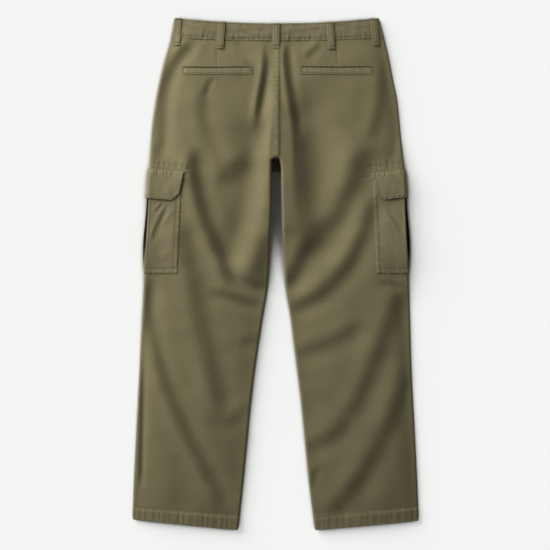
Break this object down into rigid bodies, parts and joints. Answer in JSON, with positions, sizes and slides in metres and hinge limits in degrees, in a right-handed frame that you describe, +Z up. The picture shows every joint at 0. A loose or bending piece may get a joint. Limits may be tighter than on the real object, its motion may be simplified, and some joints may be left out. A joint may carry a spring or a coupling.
{
  "type": "cargo pants",
  "caption": "Straight-leg cargo pants lying flat, back side up, with belt loops, welt pockets and flapped, pleated pockets on the sides of the legs.",
  "frame": {"origin": "middle of the garment on the surface that it lies on", "axes": "+Z up, out of the garment's back; +Y towards the waist; +X towards the wearer's right"},
  "size_m": [0.598, 1.07, 0.0272],
  "materials": {
    "twill": "washed cotton twill, matte, olive",
    "thread": "matte sewing thread, a little lighter than the cloth",
    "zip_tape": "woven tape, matte",
    "brass": "worn satin",
    "button": "matte"
  },
  "bodies": {
    "root": {"back_left": "twill", "back_right": "twill", "front_left": "twill", "front_right": "twill", "waistband": "twill", "loop_side_left": "twill", "loop_back_left": "twill", "loop_centre": "twill", "loop_back_right": "twill", "loop_side_right": "twill", "loop_front_left": "twill", "loop_front_right": "twill", "welt_left": "twill", "welt_right": "twill", "cargo_pocket_left": "twill", "cargo_pocket_right": "twill", "cargo_flap_left": "twill", "cargo_flap_right": "twill", "fly_shield": "twill", "zip_tape": "zip_tape", "zip_slider": "brass", "waist_button": "button"}
  },
  "joints": []
}
